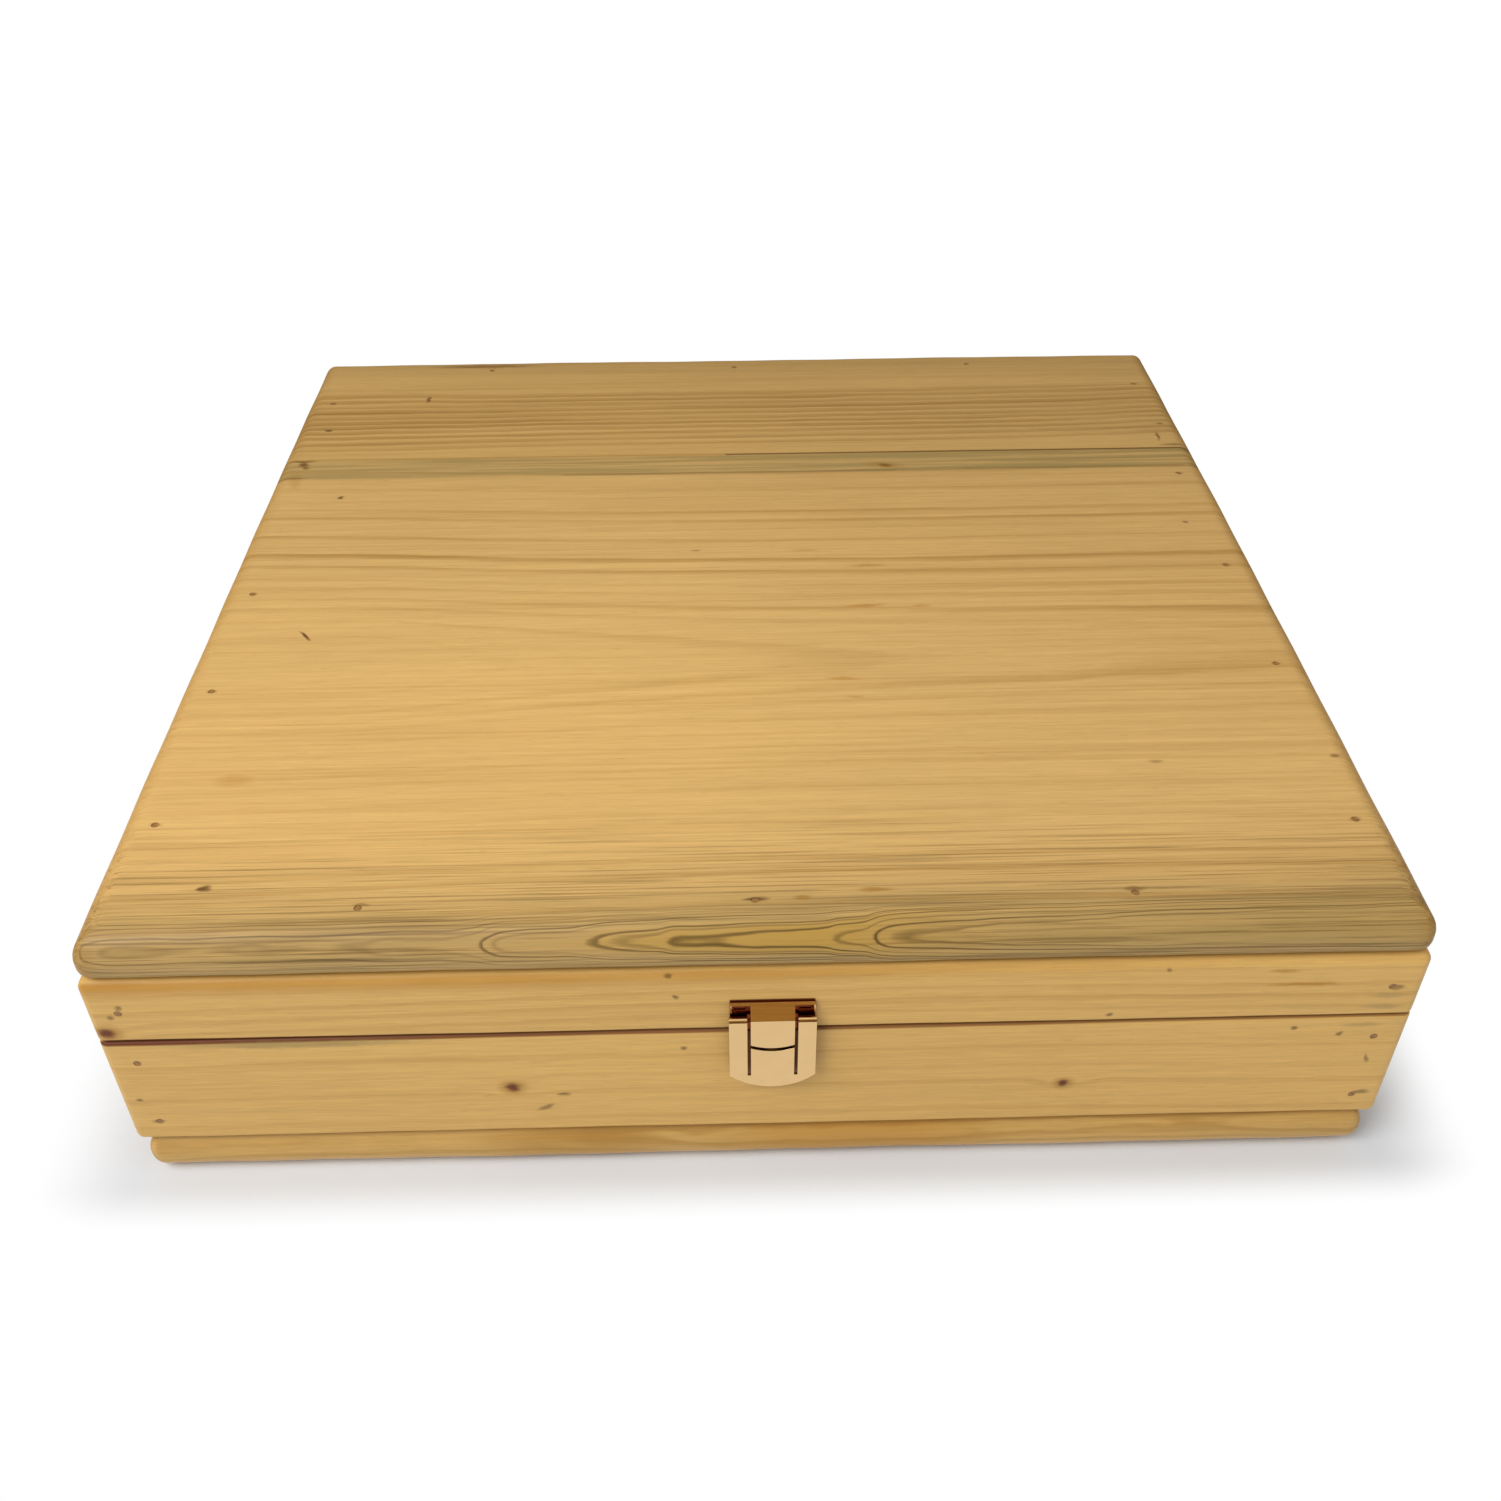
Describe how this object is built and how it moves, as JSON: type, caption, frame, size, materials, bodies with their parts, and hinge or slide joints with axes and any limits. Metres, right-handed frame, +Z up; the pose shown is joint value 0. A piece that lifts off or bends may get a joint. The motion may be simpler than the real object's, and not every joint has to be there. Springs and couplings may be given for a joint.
{
  "type": "tool box",
  "caption": "Low square tool box of lacquered pine with a hinged lid, bullnosed top and bottom boards and a duckbill latch at the front.",
  "frame": {"origin": "on the surface the box stands on, under the middle of its frame (the latch and hinges are not counted)", "axes": "+X to the right along the front, +Y from the front to the back, +Z up; the latch is on the -Y face, the hinges on the +Y face"},
  "size_m": [0.4, 0.4008, 0.1043],
  "materials": {
    "pine_planks": "pale pine with a clear amber lacquer",
    "pine_frames": "pale pine with a clear amber lacquer",
    "brad_steel": "dark steel brads, set under the lacquer",
    "hinge_brass": "plain brass",
    "screw_brass": "slotted brass wood screws",
    "latch_gold": "polished light gold plating"
  },
  "bodies": {
    "base": {"bottom_plank_front": "pine_planks", "bottom_plank_rear": "pine_planks", "base_front_board": "pine_frames", "base_back_board": "pine_frames", "base_left_board": "pine_frames", "base_right_board": "pine_frames", "base_corner_brads": "brad_steel", "bottom_brads": "brad_steel", "left_hinge_base_leaf": "hinge_brass", "right_hinge_base_leaf": "hinge_brass", "left_hinge_pin": "hinge_brass", "right_hinge_pin": "hinge_brass", "hinge_base_screws": "screw_brass", "catch_plate": "latch_gold", "catch_screws": "screw_brass"},
    "lid": {"lid_plank_front": "pine_planks", "lid_plank_rear": "pine_planks", "lid_front_board": "pine_frames", "lid_back_board": "pine_frames", "lid_left_board": "pine_frames", "lid_right_board": "pine_frames", "lid_corner_brads": "brad_steel", "lid_top_brads": "brad_steel", "left_hinge_lid_leaf": "hinge_brass", "right_hinge_lid_leaf": "hinge_brass", "hinge_lid_screws": "screw_brass", "latch_plate": "latch_gold", "latch_plate_screws": "screw_brass", "latch_pin": "latch_gold"},
    "lever": {"latch_lever": "latch_gold"}
  },
  "joints": [
    {"name": "lid_hinge", "type": "hinge", "parent": "base", "child": "lid", "pos_m": [0, 0.1987, 0.06295], "axis": [-1, 0, 0], "range_deg": [0, 180]},
    {"name": "lever_pivot", "type": "hinge", "parent": "lid", "child": "lever", "pos_m": [0.0038, -0.1983, 0.06945], "axis": [-1, 0, 0], "range_deg": [0, 170]}
  ]
}
